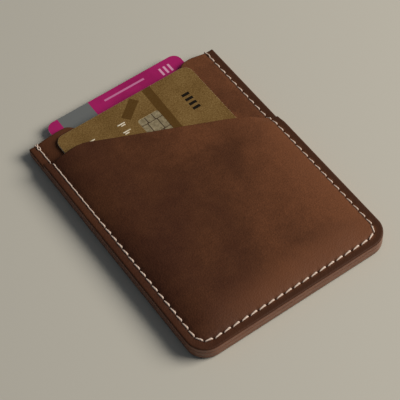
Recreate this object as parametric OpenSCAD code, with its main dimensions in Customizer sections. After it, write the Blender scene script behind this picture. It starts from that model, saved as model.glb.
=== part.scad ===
// Stitched leather card sleeve with two pockets and two payment cards.
// The back face lies on Z = 0, the pockets open towards +Y, and the origin is the centre of the back face.

/* [Leather] */
// Width of the sleeve, edge to edge
sleeve_w = 74.4; // [70:0.2:80]
// Length of the sleeve, closed end to open end
sleeve_l = 98; // [96:0.5:104]
// Thickness of each leather panel
leather_t = 2.0; // [1.6:0.1:2.4]
// Outer radius of the two corners at the closed end
corner_r = 7; // [6:0.5:9]
// Radius of the two cut corners at the open end
cut_corner_r = 0.8; // [0.4:0.1:1.5]
// Room in each pocket, across the card's thickness
pocket_gap = 1.05; // [1.0:0.05:1.3]
// Width of the leather that rises from the seam to the full pocket height
rise_w = 3.6; // [3:0.1:3.6]

/* [Front panel edge] */
// Height of the front panel on its left side
front_left_y = 38.7; // [38.1:0.1:39.8]
// Height of the front panel where it crosses the right seam
front_right_y = 12.3; // [11.8:0.1:12.6]
// Where the short level stretch ends and the slope begins
front_bend_x = -22.5; // [-27:0.5:-20]
// Radius that blends the level stretch into the slope
front_bend_r = 14; // [8:1:18]

/* [Thumb scoop] */
// Half of the scoop's width at the open end of the middle panel
scoop_half_w = 24.5; // [20:0.5:26]
// How far the scoop lies to one side of the middle
scoop_x = 1; // [-1:0.5:1]
// Depth of the scoop
scoop_depth = 9; // [7:0.5:12]
// Steepness of the scoop's ends
scoop_slope = 42; // [35:1:55]

/* [Stitching] */
// Distance from the edge of the leather to the stitch line
seam_inset = 2.9; // [2.7:0.1:3.1]
// Number of stitches around the three sewn sides
stitch_count = 76; // [76:2:76]
// Distance from the open end to the first hole
first_hole = 2; // [1.8:0.1:2.2]
// Diameter of the waxed thread
thread_d = 0.56; // [0.5:0.02:0.6]
// Diameter of the stitch holes
stitch_hole_d = 1.32; // [1.3:0.02:1.4]

/* [Cards] */
// Short side of a card
card_w = 53.98; // [53.92:0.02:54.04]
// Long side of a card
card_l = 85.6; // [85.46:0.02:85.72]
// Thickness of a card
card_t = 0.76; // [0.72:0.02:0.8]
// Corner radius of a card
card_corner_r = 3.18; // [2.88:0.1:3.48]
// Sideways place of the gold card
gold_x = -1.8; // [-2.2:0.1:2.2]
// Height of the gold card's top edge
gold_top_y = 46.9; // [45:0.1:52]
// Sideways place of the magenta card
magenta_x = -0.5; // [-2.2:0.1:2.2]
// Height of the magenta card's top edge
magenta_top_y = 55.8; // [50:0.1:60]

/* [Hidden] */
$fn = 32;

half_w = sleeve_w / 2;
half_l = sleeve_l / 2;
over = 1;          // how far a cutting shape reaches past what it cuts
skin = 0.02;       // thickness of the end slices that a hull is drawn through

// Heights of the seam faces between the layers
back_top = leather_t;
middle_top = 2 * leather_t;
front_top = 3 * leather_t;

// Stitch line
thread_r = thread_d / 2;
thread_sides = 6;
thread_gap = 0.02;                // air between the thread and what it lies on
pass_offset = thread_r + 2 * thread_gap;    // the threads share each hole, one on either side of the line
groove_depth = thread_d + 3 * thread_gap;
groove_w = stitch_hole_d + 0.3;
seam_corner_r = corner_r - seam_inset;
hole_top_y = half_l - first_hole;
side_run = hole_top_y + half_l - corner_r;
corner_run = seam_corner_r * PI / 2;
bottom_run = sleeve_w - 2 * corner_r;
seam_run = 2 * side_run + 2 * corner_run + bottom_run;
pitch = seam_run / stitch_count;

// Pocket room inside the seam
hole_margin = 0.3;
pocket_inset = seam_inset + stitch_hole_d / 2 + hole_margin;
swell_gap = 0.1;                  // keeps the hollow side of a swell clear of the swell below it
bottom_rise_w = 2;
pocket_corner_r = 4;
full_corner_r = 3;

// Card build: printed front sheet, inlay with the antenna, printed back sheet
back_sheet_t = 0.25;
inlay_t = 0.26;
front_sheet_t = card_t - back_sheet_t - inlay_t;
card_lift = 0.1;                  // room under a card in its pocket
contacts_w = 8;
contacts_l = 10.6;
contacts_t = 0.12;
contact_gap = 0.3;
cut_t = 0.05;
contacts_x = 3.6;
contacts_inset = 10.3;             // from the short edge to the chip's contacts
contacts_y = card_l / 2 - contacts_inset - contacts_l / 2;
module_w = 5;
module_l = 5.6;
fit_gap = 0.02;
strip_t = 0.06;
stripe_w = 12.7;
stripe_inset = 4;
stripe_x = card_w / 2 - stripe_inset - stripe_w / 2;
signature_w = 8;
signature_l = 58;
signature_x = 1.5;
signature_y = -6;
track_w = 0.6;
track_step = 1.2;
track_t = 0.1;
antenna_inset = 3;
antenna_turns = 3;
lead_gap = 1.2;                   // between the chip module and the antenna's lead
emboss_t = 0.1;
emboss_w = 3;
emboss_bar = 1.1;
emboss_step = 3.6;
emboss_start = 9;                 // from the short edge to the first raised bar
emboss_root = 0.1;                // how far a bar runs down into the sheet
number_row = 21.4;                // from the long edge to the middle of a row of bars
number_bars = 19;
name_row = 9.5;
name_bars = 12;

gold_z = middle_top + pocket_gap + card_lift;
magenta_z = back_top + card_lift;

leather_colour = [0.40, 0.22, 0.15];
thread_colour = [0.90, 0.82, 0.74];
gold_colour = [0.62, 0.52, 0.30];
magenta_colour = [0.72, 0.12, 0.42];
inlay_colour = [0.92, 0.92, 0.90];
contacts_colour = [0.85, 0.80, 0.66];
module_colour = [0.10, 0.10, 0.11];
copper_colour = [0.72, 0.42, 0.25];
stripe_colour = [0.08, 0.07, 0.07];
signature_colour = [0.93, 0.92, 0.88];

// ---- outlines -----------------------------------------------------------------------------

function arc_points(centre, r, from, to, steps = 10) =
    [for (k = [0:steps])
        let (a = from + (to - from) * k / steps) centre + r * [cos(a), sin(a)]];

module rounded_rectangle(w, l, r) {
    square([w - 2 * r, l], center = true);
    square([w, l - 2 * r], center = true);
    for (x = [-1, 1], y = [-1, 1]) translate([x * (w / 2 - r), y * (l / 2 - r)]) circle(r);
}

// Sleeve outline: round corners at the closed end, cut corners at the open end
module sleeve_outline() {
    translate([-half_w, corner_r - half_l]) square([sleeve_w, sleeve_l - corner_r - cut_corner_r]);
    translate([corner_r - half_w, -half_l]) square([sleeve_w - 2 * corner_r, 2 * corner_r]);
    translate([cut_corner_r - half_w, 0]) square([sleeve_w - 2 * cut_corner_r, half_l]);
    for (x = [-1, 1]) {
        translate([x * (half_w - corner_r), corner_r - half_l]) circle(corner_r);
        translate([x * (half_w - cut_corner_r), half_l - cut_corner_r]) circle(cut_corner_r);
    }
}

// Everything below the front panel's top edge: level on the left, then sloping down to the right
module below_front_edge() {
    seam_x = half_w - seam_inset;
    slope = atan((front_left_y - front_right_y) / (seam_x - front_bend_x));
    blend = front_bend_r * tan(slope / 2);
    far_x = half_w + over;
    far_y = front_left_y - (far_x - front_bend_x) * tan(slope);
    polygon(concat(
        [[-far_x, front_left_y]],
        arc_points([front_bend_x - blend, front_left_y - front_bend_r], front_bend_r, 90, 90 - slope),
        [[far_x, far_y], [far_x, -half_l - over], [-far_x, -half_l - over]]
    ));
}

// Shallow trapezoid with blended corners, cut from the open end of the middle panel
module scoop_outline() {
    lip_r = 3;
    floor_r = 6;
    lip_end = [lip_r * sin(scoop_slope) - scoop_half_w, half_l - lip_r * (1 - cos(scoop_slope))];
    floor_start_y = half_l - scoop_depth + floor_r * (1 - cos(scoop_slope));
    floor_start_x = lip_end.x + (lip_end.y - floor_start_y) / tan(scoop_slope);
    floor_x = floor_start_x + floor_r * sin(scoop_slope);
    left_side = concat(
        arc_points([-scoop_half_w, half_l - lip_r], lip_r, 90, 90 - scoop_slope),
        arc_points([floor_x, half_l - scoop_depth + floor_r], floor_r, 270 - scoop_slope, 270)
    );
    last = len(left_side) - 1;
    right_side = [for (k = [0:last]) [-left_side[last - k].x, left_side[last - k].y]];
    polygon(concat(
        [[-scoop_half_w, half_l + over]],
        left_side,
        right_side,
        [[scoop_half_w, half_l + over]]
    ));
}

// Pocket outline at a given inset; it runs out past the open end
module pocket_outline(side, bottom, r) {
    w = sleeve_w - 2 * side;
    translate([-w / 2, bottom + r - half_l]) square([w, sleeve_l + over - bottom - r]);
    translate([r - w / 2, bottom - half_l]) square([w - 2 * r, 2 * r]);
    for (x = [-1, 1]) translate([x * (w / 2 - r), bottom + r - half_l]) circle(r);
}

// ---- seam ---------------------------------------------------------------------------------

// Point on the stitch line at distance s from the first hole on the left
function seam_point(s) =
    s < side_run ? [seam_inset - half_w, hole_top_y - s]
    : s < side_run + corner_run ?
        let (a = (s - side_run) / seam_corner_r * 180 / PI)
        [corner_r - half_w - seam_corner_r * cos(a), corner_r - half_l - seam_corner_r * sin(a)]
    : s <= side_run + corner_run + bottom_run ?
        [corner_r - half_w + s - side_run - corner_run, seam_inset - half_l]
    : let (p = seam_point(seam_run - s)) [-p.x, p.y];

// Outward direction of the leather's edge at the same place
function seam_normal(s) =
    s < side_run ? [-1, 0]
    : s < side_run + corner_run ?
        let (a = (s - side_run) / seam_corner_r * 180 / PI) [-cos(a), -sin(a)]
    : s <= side_run + corner_run + bottom_run ? [0, -1]
    : let (n = seam_normal(seam_run - s)) [-n.x, n.y];

function hole_point(i) = seam_point(i * pitch);
function hole_normal(i) = seam_normal(i * pitch);

function front_edge_y(x) = x < 0 ? front_left_y : front_right_y;
function under_front_panel(i) = hole_point(i).y < front_edge_y(hole_point(i).x);
function face_height(i) = under_front_panel(i) ? front_top : middle_top;

module stitch_holes(first, last, top) {
    for (i = [first:last]) translate([hole_point(i).x, hole_point(i).y, -over])
        cylinder(d = stitch_hole_d, h = top + 2 * over);
}

// Channel under the back panel that takes the stitches, so that nothing stands proud of the back face
module back_groove() {
    w = groove_w;
    run_y = side_run + first_hole + over;
    for (x = [-1, 1]) {
        translate([x * (half_w - seam_inset) - w / 2, corner_r - half_l, -over])
            cube([w, run_y, over + groove_depth]);
        intersection() {
            translate([x * (half_w - corner_r), corner_r - half_l, -over]) difference() {
                cylinder(r = seam_corner_r + w / 2, h = over + groove_depth);
                translate([0, 0, -over]) cylinder(r = seam_corner_r - w / 2, h = groove_depth + 3 * over);
            }
            translate([x * half_w - corner_r, -half_l, -over])
                cube([2 * corner_r, corner_r, over + groove_depth]);
        }
    }
    translate([corner_r - half_w, seam_inset - half_l - w / 2, -over])
        cube([bottom_run, w, over + groove_depth]);
}

// ---- leather panels -----------------------------------------------------------------------

// Solid that is as wide as the pocket at its foot and narrows by the rise width to its full height
module pocket_swell(foot, height, side = pocket_inset) {
    hull() {
        translate([0, 0, foot - over]) linear_extrude(over) pocket_outline(side, side, pocket_corner_r);
        translate([0, 0, foot + height - skin]) linear_extrude(skin)
            pocket_outline(pocket_inset + rise_w, pocket_inset + bottom_rise_w, full_corner_r);
    }
}

// One panel: flat along the seam, swollen over what its pocket holds
module pocket_panel(foot, swell) {
    difference() {
        union() {
            translate([0, 0, foot]) linear_extrude(leather_t) sleeve_outline();
            intersection() {
                pocket_swell(foot + leather_t, swell);
                translate([0, 0, foot]) linear_extrude(leather_t + swell) sleeve_outline();
            }
        }
        pocket_swell(foot, swell, pocket_inset - swell_gap);
    }
}

module back_panel() {
    color(leather_colour) difference() {
        linear_extrude(leather_t) sleeve_outline();
        back_groove();
        stitch_holes(0, stitch_count, leather_t);
    }
}

module middle_panel() {
    color(leather_colour) difference() {
        pocket_panel(back_top, pocket_gap);
        translate([scoop_x, 0, -over]) linear_extrude(front_top) scoop_outline();
        stitch_holes(0, stitch_count, middle_top);
    }
}

module front_panel() {
    first = [for (i = [0:stitch_count]) if (under_front_panel(i)) i];
    color(leather_colour) difference() {
        intersection() {
            pocket_panel(middle_top, 2 * pocket_gap);
            linear_extrude(2 * front_top) below_front_edge();
        }
        stitch_holes(first[0], first[len(first) - 1], front_top);
    }
}

// ---- thread -------------------------------------------------------------------------------

function unit(v) = v / norm(v);

// Ring of points around a bend of the thread; side is the direction that stays across the seam
function thread_ring(before, at, after, side) =
    let (
        in_dir = unit(at - before),
        out_dir = unit(after - at),
        middle = unit(in_dir + out_dir),
        up = unit(cross(middle, side)),
        stretch = 1 / (middle * in_dir)
    )
    [for (k = [0:thread_sides - 1])
        let (a = 360 * k / thread_sides) at + thread_r * (cos(a) * side + sin(a) * stretch * up)];

function tube_faces(rings, closed) =
    [for (j = [0:rings - (closed ? 1 : 2)], k = [0:thread_sides - 1], half = [0, 1])
        let (
            a = j * thread_sides + k,
            b = j * thread_sides + (k + 1) % thread_sides,
            c = ((j + 1) % rings) * thread_sides + (k + 1) % thread_sides,
            d = ((j + 1) % rings) * thread_sides + k
        )
        half == 0 ? [a, b, c] : [a, c, d]];

// Thread through a list of [point, side] pairs
module thread(route, closed = false) {
    n = len(route);
    points = [for (j = [0:n - 1])
        let (
            at = route[j][0],
            before = closed || j > 0 ? route[(j + n - 1) % n][0] : 2 * at - route[1][0],
            after = closed || j < n - 1 ? route[(j + 1) % n][0] : 2 * at - route[n - 2][0]
        )
        each thread_ring(before, at, after, route[j][1])];
    caps = closed ? [] : [
        [for (k = [thread_sides - 1:-1:0]) k],
        [for (k = [0:thread_sides - 1]) (n - 1) * thread_sides + k]
    ];
    polyhedron(points, concat(caps, tube_faces(n, closed)), convexity = 10);
}

// Where a thread stands in hole i: the two threads change sides from one hole to the next
function thread_side(i, needle) = (i + needle) % 2 == 0 ? 1 : -1;

function in_hole(i, needle, z) =
    let (p = hole_point(i) + thread_side(i, needle) * pass_offset * hole_normal(i)) [p.x, p.y, z];

// Saddle stitch: each thread shows on the front over every other stitch and on the back over the rest
module needle_thread(needle, first, last) {
    back_z = thread_r + thread_gap;
    route = [for (i = [first:last])
        let (
            starts_front = (i + needle) % 2 == 0,
            partner = starts_front ? min(i + 1, last) : max(i - 1, first),
            front_z = max(face_height(i), face_height(partner)) + thread_r + thread_gap,
            n = hole_normal(i),
            side = [n.x, n.y, 0],
            front = [in_hole(i, needle, front_z), side],
            back = [in_hole(i, needle, back_z), side]
        )
        each (starts_front ? [back, front] : [front, back])];
    thread(route);
}

// Loop of thread through the last hole and over the open edge of the two full panels
module edge_wrap(i, needle) {
    low = thread_r + thread_gap;
    high = middle_top + thread_r + thread_gap;
    edge_y = half_l + thread_r + thread_gap;
    start = in_hole(i, needle, low);
    side = [1, 0, 0];
    thread([
        [start, side],
        [[start.x, start.y, high], side],
        [[start.x, edge_y, high], side],
        [[start.x, edge_y, low], side]
    ], closed = true);
}

module first_needle_thread() {
    color(thread_colour) needle_thread(0, 0, stitch_count - 1);
}

module second_needle_thread() {
    color(thread_colour) needle_thread(1, 1, stitch_count);
}

module left_edge_wrap() {
    color(thread_colour) edge_wrap(0, 1);
}

module right_edge_wrap() {
    color(thread_colour) edge_wrap(stitch_count, 0);
}

// ---- cards --------------------------------------------------------------------------------

module place_gold_card() {
    translate([gold_x, gold_top_y - card_l / 2, gold_z]) children();
}

module place_magenta_card() {
    translate([magenta_x, magenta_top_y - card_l / 2, magenta_z]) children();
}

module card_sheet(bottom, thickness) {
    translate([0, 0, bottom]) linear_extrude(thickness) rounded_rectangle(card_w, card_l, card_corner_r);
}

module chip_block(w, l, bottom, thickness) {
    translate([contacts_x - w / 2, contacts_y - l / 2, bottom]) cube([w, l, thickness]);
}

// Printed front sheet with the window for the chip
module card_front_sheet() {
    bottom = back_sheet_t + inlay_t;
    difference() {
        card_sheet(bottom, front_sheet_t);
        chip_block(contacts_w + 2 * fit_gap, contacts_l + 2 * fit_gap, card_t - contacts_t, contacts_t + over);
        chip_block(module_w + 2 * fit_gap, module_l + 2 * fit_gap, bottom - over, front_sheet_t + over);
    }
}

// Raised bars where an embossed card has its characters
module embossed_bars(x, count) {
    start_y = card_l / 2 - emboss_start;
    for (k = [0:count - 1]) translate([x - emboss_w / 2, start_y - k * emboss_step, card_t - emboss_root])
        cube([emboss_w, emboss_bar, emboss_t + emboss_root]);
}

// Spiral antenna: each turn steps in by the track step, and the inner end runs to the chip
module antenna_track(w, bottom, height) {
    half_x = card_w / 2 - antenna_inset;
    half_y = card_l / 2 - antenna_inset;
    for (turn = [0:antenna_turns - 1]) {
        x = half_x - turn * track_step;
        y = half_y - turn * track_step;
        next_y = y - track_step;
        track([-x, next_y], [-x, -y], w, bottom, height);
        track([-x, -y], [x, -y], w, bottom, height);
        track([x, -y], [x, y], w, bottom, height);
        track([x, y], [-x + track_step, y], w, bottom, height);
        if (turn < antenna_turns - 1) {
            track([-x + track_step, y], [-x + track_step, next_y - track_step], w, bottom, height);
        }
    }
    inner_x = half_x - (antenna_turns - 1) * track_step;
    inner_y = half_y - (antenna_turns - 1) * track_step;
    lead_y = contacts_y + module_l / 2 + lead_gap;
    track([-inner_x + track_step, inner_y], [-inner_x + track_step, lead_y], w, bottom, height);
    track([-inner_x + track_step, lead_y], [contacts_x, lead_y], w, bottom, height);
}

module track(from, to, w, bottom, height) {
    low = [min(from.x, to.x) - w / 2, min(from.y, to.y) - w / 2];
    high = [max(from.x, to.x) + w / 2, max(from.y, to.y) + w / 2];
    translate([low.x, low.y, bottom]) cube([high.x - low.x, high.y - low.y, height]);
}

module card_antenna() {
    antenna_track(track_w, back_sheet_t + inlay_t - track_t, track_t);
}

// Core sheet with a channel for the antenna and a hole for the chip
module card_inlay() {
    top = back_sheet_t + inlay_t;
    difference() {
        card_sheet(back_sheet_t, inlay_t);
        antenna_track(track_w + 2 * fit_gap, top - track_t - fit_gap, over);
        chip_block(module_w + 2 * fit_gap, module_l + 2 * fit_gap, back_sheet_t - over, inlay_t + 2 * over);
    }
}

module card_back_sheet() {
    difference() {
        card_sheet(0, back_sheet_t);
        translate([stripe_x - stripe_w / 2 - fit_gap, -card_l, -over])
            cube([stripe_w + 2 * fit_gap, 2 * card_l, over + strip_t]);
        translate([signature_x - signature_w / 2 - fit_gap, signature_y - signature_l / 2 - fit_gap, -over])
            cube([signature_w + 2 * fit_gap, signature_l + 2 * fit_gap, over + strip_t]);
    }
}

// Gold-plated contact plate, cut by fine gaps into its contacts
module card_chip_contacts() {
    difference() {
        chip_block(contacts_w, contacts_l, card_t - contacts_t, contacts_t);
        for (x = [-1, 1], y = [-1, 1])
            translate([
                contacts_x + x * contacts_w / 6 - contact_gap / 2,
                contacts_y + y * contacts_l / 3 - contacts_l / 6,
                card_t - cut_t
            ]) cube([contact_gap, contacts_l / 3, over]);
        for (y = [-1, 1])
            translate([contacts_x - contacts_w, contacts_y + y * contacts_l / 6, card_t - cut_t])
                cube([2 * contacts_w, contact_gap, over]);
    }
}

module card_chip_module() {
    chip_block(module_w, module_l, back_sheet_t + fit_gap, card_t - contacts_t - back_sheet_t - fit_gap);
}

module card_magnetic_stripe() {
    intersection() {
        translate([stripe_x - stripe_w / 2, -card_l, 0]) cube([stripe_w, 2 * card_l, strip_t]);
        card_sheet(-over, 2 * over);
    }
}

module card_signature_strip() {
    translate([signature_x - signature_w / 2, signature_y - signature_l / 2, 0])
        cube([signature_w, signature_l, strip_t]);
}

module gold_card_front_sheet() {
    color(gold_colour) place_gold_card() {
        card_front_sheet();
        embossed_bars(number_row - card_w / 2, number_bars);
        embossed_bars(name_row - card_w / 2, name_bars);
    }
}

module gold_card_inlay() {
    color(inlay_colour) place_gold_card() card_inlay();
}

module gold_card_back_sheet() {
    color(gold_colour) place_gold_card() card_back_sheet();
}

module gold_card_antenna() {
    color(copper_colour) place_gold_card() card_antenna();
}

module gold_card_chip_contacts() {
    color(contacts_colour) place_gold_card() card_chip_contacts();
}

module gold_card_chip_module() {
    color(module_colour) place_gold_card() card_chip_module();
}

module gold_card_magnetic_stripe() {
    color(stripe_colour) place_gold_card() card_magnetic_stripe();
}

module gold_card_signature_strip() {
    color(signature_colour) place_gold_card() card_signature_strip();
}

module magenta_card_front_sheet() {
    color(magenta_colour) place_magenta_card() card_front_sheet();
}

module magenta_card_inlay() {
    color(inlay_colour) place_magenta_card() card_inlay();
}

module magenta_card_back_sheet() {
    color(magenta_colour) place_magenta_card() card_back_sheet();
}

module magenta_card_antenna() {
    color(copper_colour) place_magenta_card() card_antenna();
}

module magenta_card_chip_contacts() {
    color(contacts_colour) place_magenta_card() card_chip_contacts();
}

module magenta_card_chip_module() {
    color(module_colour) place_magenta_card() card_chip_module();
}

module magenta_card_magnetic_stripe() {
    color(stripe_colour) place_magenta_card() card_magnetic_stripe();
}

module magenta_card_signature_strip() {
    color(signature_colour) place_magenta_card() card_signature_strip();
}

back_panel();
middle_panel();
front_panel();
first_needle_thread();
second_needle_thread();
left_edge_wrap();
right_edge_wrap();
gold_card_front_sheet();
gold_card_inlay();
gold_card_back_sheet();
gold_card_antenna();
gold_card_chip_contacts();
gold_card_chip_module();
gold_card_magnetic_stripe();
gold_card_signature_strip();
magenta_card_front_sheet();
magenta_card_inlay();
magenta_card_back_sheet();
magenta_card_antenna();
magenta_card_chip_contacts();
magenta_card_chip_module();
magenta_card_magnetic_stripe();
magenta_card_signature_strip();
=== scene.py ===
import math

import bpy
import numpy as np
from mathutils import Matrix, noise, Vector


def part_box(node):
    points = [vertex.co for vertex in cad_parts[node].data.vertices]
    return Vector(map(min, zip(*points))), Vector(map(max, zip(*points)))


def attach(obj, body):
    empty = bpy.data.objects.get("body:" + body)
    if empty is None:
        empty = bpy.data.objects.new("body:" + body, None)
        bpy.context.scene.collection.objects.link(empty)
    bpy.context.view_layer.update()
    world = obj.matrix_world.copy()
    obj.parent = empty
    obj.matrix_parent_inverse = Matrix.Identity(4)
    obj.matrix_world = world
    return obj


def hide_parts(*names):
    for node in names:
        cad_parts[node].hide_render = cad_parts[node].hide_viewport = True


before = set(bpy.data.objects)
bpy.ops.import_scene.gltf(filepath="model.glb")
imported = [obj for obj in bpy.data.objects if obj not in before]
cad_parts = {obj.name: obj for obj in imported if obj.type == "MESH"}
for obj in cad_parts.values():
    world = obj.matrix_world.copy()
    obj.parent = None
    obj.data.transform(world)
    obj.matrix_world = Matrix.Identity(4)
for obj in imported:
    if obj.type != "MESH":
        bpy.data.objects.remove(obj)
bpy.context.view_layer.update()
print("frame loaded")

mm = 0.001  # lengths below are in millimetres until a mesh is made


def nodeBox(node):
    low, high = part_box(node)
    return np.array(low) / mm, np.array(high) / mm


halfWidth, halfLength, layer = nodeBox("back_panel")[1]  # layer is one thickness of leather
middleTop = 2 * layer
frontTop = 3 * layer
middleRise = nodeBox("middle_panel")[1][2] - middleTop  # how far the cards push the leather up
frontRise = nodeBox("front_panel")[1][2] - frontTop


def colour(hexValue):  # sRGB hex to the linear numbers a shader takes
    parts = [int(hexValue[i:i + 2], 16) / 255 for i in (1, 3, 5)]
    return tuple(p / 12.92 if p <= 0.04045 else ((p + 0.055) / 1.055) ** 2.4 for p in parts) + (1.0,)


def connect(tree, node, links):  # socket of the node: (other node, its output)
    for socket, (other, output) in links.items():
        tree.links.new(other.outputs[output], node.inputs[socket])


def addNode(tree, kind, settings=None, links=None):
    node = tree.nodes.new("ShaderNode" + kind)
    for name, value in (settings or {}).items():
        if isinstance(name, int):
            node.inputs[name].default_value = value
        elif name == "stops":  # colour ramp: (place, hex or grey) from left to right
            ramp = node.color_ramp.elements
            while len(ramp) < len(value):
                ramp.new(0.5)
            for element, (place, tint) in zip(ramp, value):
                element.position = place
                element.color = colour(tint) if isinstance(tint, str) else (tint, tint, tint, 1.0)
        elif name in node.inputs and not hasattr(node, name):
            node.inputs[name].default_value = value
        else:
            setattr(node, name, value)
    connect(tree, node, links or {})
    return node


def newMaterial(name, **sockets):
    material = bpy.data.materials.new(name)
    material.use_nodes = True
    tree = material.node_tree
    shader = next(n for n in tree.nodes if n.type == "BSDF_PRINCIPLED")
    for socket, value in sockets.items():
        shader.inputs[socket.replace("_", " ")].default_value = value
    place = addNode(tree, "TexCoord")
    return material, tree, shader, place


def perMetre(size):  # a texture's scale from the size of its features
    return 1 / (size * mm)


def finish(tree, shader, tint, height, strength, depth, polish=None, limits=None):
    # joins colour and relief to the shader, and roughness where a pattern polishes it between two limits
    bump = addNode(tree, "Bump", {"Strength": strength, "Distance": depth * mm}, {"Height": height})
    connect(tree, shader, {"Base Color": tint, "Normal": (bump, 0)})
    if limits:
        rough = addNode(tree, "MapRange", {1: 0.3, 2: 0.7, 3: limits[0], 4: limits[1]}, {0: polish})
        connect(tree, shader, {"Roughness": (rough, 0)})


sleeve = {
    "cornerR": 7.0,          # round corners at the closed end
    "cutCornerR": 0.8,       # cut corners at the open end
    "frontCornerR": 0.9,     # worn corners of the front panel
    "cell": 0.52,            # size of a mesh cell
    "frontLeftY": 38.7,      # the front pocket's edge: level, then a long slope
    "frontRightY": 12.3,
    "frontBendX": -22.5,
    "frontBendR": 14.0,
    "flare": 1.5,            # past the seam its left end is free of the thread and flares up
    "flareWidth": 0.4,
    "scoopHalfW": 24.5,      # thumb scoop in the middle panel
    "scoopX": 1.0,
    "scoopDepth": 9.0,
    "scoopSlope": 42.0,
    "scoopLipR": 3.0,
    "scoopFloorR": 6.0,
    "bow": 0.6,              # the stretched leather past the scoop's right end stands proud
    "bowX": 28.0,
    "bowWidth": 3.2,
    "pulled": 1.0,           # the open end's left corner has been pulled further up
    "pulledX": -10.0,
    "pulledReachX": 16.0,
    "pulledY": 33.0,
    "pulledReachY": 13.0,
}
cornerR = sleeve["cornerR"]

stitching = {
    "inset": 2.9,
    "count": 76,
    "firstHole": 2.0,
    "slitAlong": 0.2,        # half size of a hole along the seam
    "slitAcross": 0.38,      # and across it
    "lean": 0.35,            # the awl leans
    "offset": 0.22,          # each thread's place in a shared hole
    "thin": 0.21,            # radius of a stitch at its thin and thick ends
    "thick": 0.33,
    "scale": 1.08,           # fullness of the stitches, and of those up the right side
    "rightScale": 0.86,
    "dive": 0.8,             # length of a stitch's way down into its hole
    "depth": 1.2,
    "tight": 10,             # the first stitches are pulled flat, and their ends meet
    "backR": 0.28,           # stitches on the back lie in a groove
    "backZ": 0.34,
    "plies": 3,
    "lay": 2.4,              # length of one twist
}

seamR = cornerR - stitching["inset"]
seamX = halfWidth - stitching["inset"]
holeTopY = halfLength - stitching["firstHole"]
sideRun = holeTopY + halfLength - cornerR
cornerRun = seamR * math.pi / 2
bottomRun = 2 * (halfWidth - cornerR)
seamRun = 2 * sideRun + 2 * cornerRun + bottomRun
pitch = seamRun / stitching["count"]


def seamPoint(s):  # place on the stitch line and the outward direction there
    if s > seamRun / 2:
        (x, y), (nx, ny) = seamPoint(seamRun - s)
        return (-x, y), (-nx, ny)
    if s < sideRun:
        return (-seamX, holeTopY - s), (-1.0, 0.0)
    if s < sideRun + cornerRun:
        a = (s - sideRun) / seamR
        n = (-math.cos(a), -math.sin(a))
        return (cornerR - halfWidth + seamR * n[0], cornerR - halfLength + seamR * n[1]), n
    return (cornerR - halfWidth + s - sideRun - cornerRun, stitching["inset"] - halfLength), (0.0, -1.0)


holePlaces = [seamPoint(i * pitch) for i in range(stitching["count"] + 1)]


def arc(cx, cy, r, start, end, steps=12):
    angles = np.radians(np.linspace(start, end, steps + 1))
    return cx + r * np.cos(angles), cy + r * np.sin(angles)


def frontEdgeLine():
    drop = sleeve["frontLeftY"] - sleeve["frontRightY"]
    angle = math.atan(drop / (seamX - sleeve["frontBendX"]))
    blend = sleeve["frontBendR"] * math.tan(angle / 2)
    x, y = arc(sleeve["frontBendX"] - blend, sleeve["frontLeftY"] - sleeve["frontBendR"],
               sleeve["frontBendR"], 90, 90 - math.degrees(angle))
    farX = halfWidth + 1
    farY = sleeve["frontLeftY"] - (farX - sleeve["frontBendX"]) * math.tan(angle)
    flareY = sleeve["frontLeftY"] + sleeve["flare"]
    return (np.concatenate([[-farX, sleeve["flareWidth"] - halfWidth, -seamX], x, [farX]]),
            np.concatenate([[flareY, flareY, sleeve["frontLeftY"]], y, [farY]]))


def scoopLine():
    slope, lipR, floorR = sleeve["scoopSlope"], sleeve["scoopLipR"], sleeve["scoopFloorR"]
    lipX, lipY = arc(-sleeve["scoopHalfW"], halfLength - lipR, lipR, 90, 90 - slope)
    a = math.radians(slope)
    floorY = halfLength - sleeve["scoopDepth"]
    startY = floorY + floorR * (1 - math.cos(a))
    floorX = lipX[-1] + (lipY[-1] - startY) / math.tan(a) + floorR * math.sin(a)
    bendX, bendY = arc(floorX, floorY + floorR, floorR, 270 - slope, 270)
    x = np.concatenate([lipX, bendX])
    y = np.concatenate([lipY, bendY])
    pastLip = np.linspace(0.4 - lipX[0], halfWidth + 1 - sleeve["scoopX"], 24)
    x = np.concatenate([[-halfWidth - 1 - sleeve["scoopX"]], x, -x[::-1], pastLip]) + sleeve["scoopX"]
    y = np.concatenate([[halfLength], y, y[::-1], np.full(24, halfLength)])
    return x, y + sleeve["bow"] * np.exp(-((x - sleeve["bowX"]) / sleeve["bowWidth"]) ** 2)


edgeLines = {
    "back": (np.array([-halfWidth - 1, halfWidth + 1]), np.array([halfLength, halfLength])),
    "middle": scoopLine(),
    "front": frontEdgeLine(),
}


def topEdge(panel, x):
    return np.interp(x, *edgeLines[panel])


def sewnDistance(x, y):  # inwards from the three sewn sides
    qx = np.abs(x) - (halfWidth - cornerR)
    qy = -y - (halfLength - cornerR)
    outside = np.hypot(np.maximum(qx, 0), np.maximum(qy, 0)) + np.minimum(np.maximum(qx, qy), 0)
    return cornerR - outside


def openDistance(panel, x, y):  # inwards from the open edge
    step = 0.2
    slope = (topEdge(panel, x + step) - topEdge(panel, x - step)) / (2 * step)
    return (topEdge(panel, x) - y) / np.sqrt(1 + slope ** 2)


def edgeDistance(panel, x, y):
    return np.minimum(sewnDistance(x, y), openDistance(panel, x, y))


def smooth(t):
    t = np.clip(t, 0, 1)
    return t * t * (3 - 2 * t)


def rounded(distance, r):  # how far a rounded edge drops at that distance from it
    d = np.clip(distance, 0, r)
    return r - np.sqrt(r * r - (r - d) ** 2)


def softWaves(x, y, size, seed):  # between about -1 and 1
    flat = [noise.fractal(Vector((a / size, b / size, seed)), 1.0, 2.0, 2)
            for a, b in zip(x.ravel(), y.ravel())]
    return np.array(flat).reshape(x.shape)


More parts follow.
